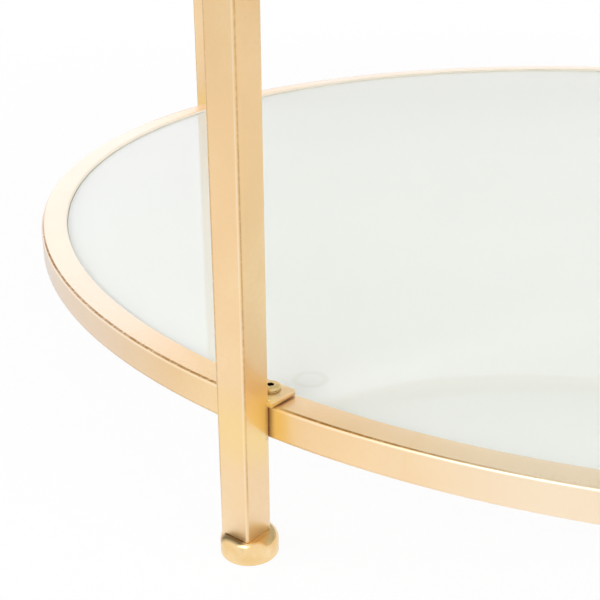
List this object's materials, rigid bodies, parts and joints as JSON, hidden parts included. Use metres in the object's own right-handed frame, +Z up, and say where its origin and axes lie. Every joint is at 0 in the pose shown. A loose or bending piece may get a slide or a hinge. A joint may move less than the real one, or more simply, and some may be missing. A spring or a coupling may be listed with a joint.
{
  "type": "coffee table",
  "caption": "Round two-tier coffee table: square-tube rings with inset glass panes, bracketed to straight square-tube legs that stand on screw-in disc feet.",
  "frame": {"origin": "middle of the footprint on the floor, below the rings' centre", "axes": "+Z up from the floor, -Y towards the front, the legs on the diagonals between X and Y"},
  "size_m": [0.828, 0.828, 0.44],
  "materials": {
    "gold_leaf": "satin gold leaf",
    "polished_gold": "polished",
    "frosted_glass": "smooth above, frosted below",
    "screw_brass": "satin",
    "zinc_steel": "zinc plated",
    "clear_bumper": "clear soft",
    "black_plastic": "moulded"
  },
  "bodies": {
    "frame": {"leg_cap_front_left": "gold_leaf", "leg_cap_front_right": "gold_leaf", "leg_cap_rear_left": "gold_leaf", "leg_cap_rear_right": "gold_leaf", "leg_front_left": "gold_leaf", "leg_front_right": "gold_leaf", "leg_insert_front_left": "black_plastic", "leg_insert_front_right": "black_plastic", "leg_insert_rear_left": "black_plastic", "leg_insert_rear_right": "black_plastic", "leg_rear_left": "gold_leaf", "leg_rear_right": "gold_leaf", "shelf_bolts": "screw_brass", "shelf_bracket_front_left": "gold_leaf", "shelf_bracket_front_right": "gold_leaf", "shelf_bracket_rear_left": "gold_leaf", "shelf_bracket_rear_right": "gold_leaf", "shelf_bumpers": "clear_bumper", "shelf_glass_support_front_left": "gold_leaf", "shelf_glass_support_front_right": "gold_leaf", "shelf_glass_support_rear_left": "gold_leaf", "shelf_glass_support_rear_right": "gold_leaf", "shelf_ring": "gold_leaf", "shelf_rivet_nuts": "zinc_steel", "top_bolts": "screw_brass", "top_bracket_front_left": "gold_leaf", "top_bracket_front_right": "gold_leaf", "top_bracket_rear_left": "gold_leaf", "top_bracket_rear_right": "gold_leaf", "top_bumpers": "clear_bumper", "top_glass_support_front_left": "gold_leaf", "top_glass_support_front_right": "gold_leaf", "top_glass_support_rear_left": "gold_leaf", "top_glass_support_rear_right": "gold_leaf", "top_ring": "gold_leaf", "top_rivet_nuts": "zinc_steel"},
    "foot_front_left": {"foot_front_left": "polished_gold"},
    "foot_front_right": {"foot_front_right": "polished_gold"},
    "foot_rear_left": {"foot_rear_left": "polished_gold"},
    "foot_rear_right": {"foot_rear_right": "polished_gold"},
    "shelf_glass": {"shelf_glass": "frosted_glass"},
    "top_glass": {"top_glass": "frosted_glass"}
  },
  "joints": [
    {"name": "shelf_glass_lift", "type": "slide", "parent": "frame", "child": "shelf_glass", "axis": [0, 0, 1], "range_m": [0, 0.15]},
    {"name": "top_glass_lift", "type": "slide", "parent": "frame", "child": "top_glass", "axis": [0, 0, 1], "range_m": [0, 0.15]},
    {"name": "foot_screw_front_left", "type": "slide", "parent": "frame", "child": "foot_front_left", "axis": [0, 0, -1], "range_m": [0, 0.008]},
    {"name": "foot_screw_front_right", "type": "slide", "parent": "frame", "child": "foot_front_right", "axis": [0, 0, -1], "range_m": [0, 0.008]},
    {"name": "foot_screw_rear_right", "type": "slide", "parent": "frame", "child": "foot_rear_right", "axis": [0, 0, -1], "range_m": [0, 0.008]},
    {"name": "foot_screw_rear_left", "type": "slide", "parent": "frame", "child": "foot_rear_left", "axis": [0, 0, -1], "range_m": [0, 0.008]}
  ]
}
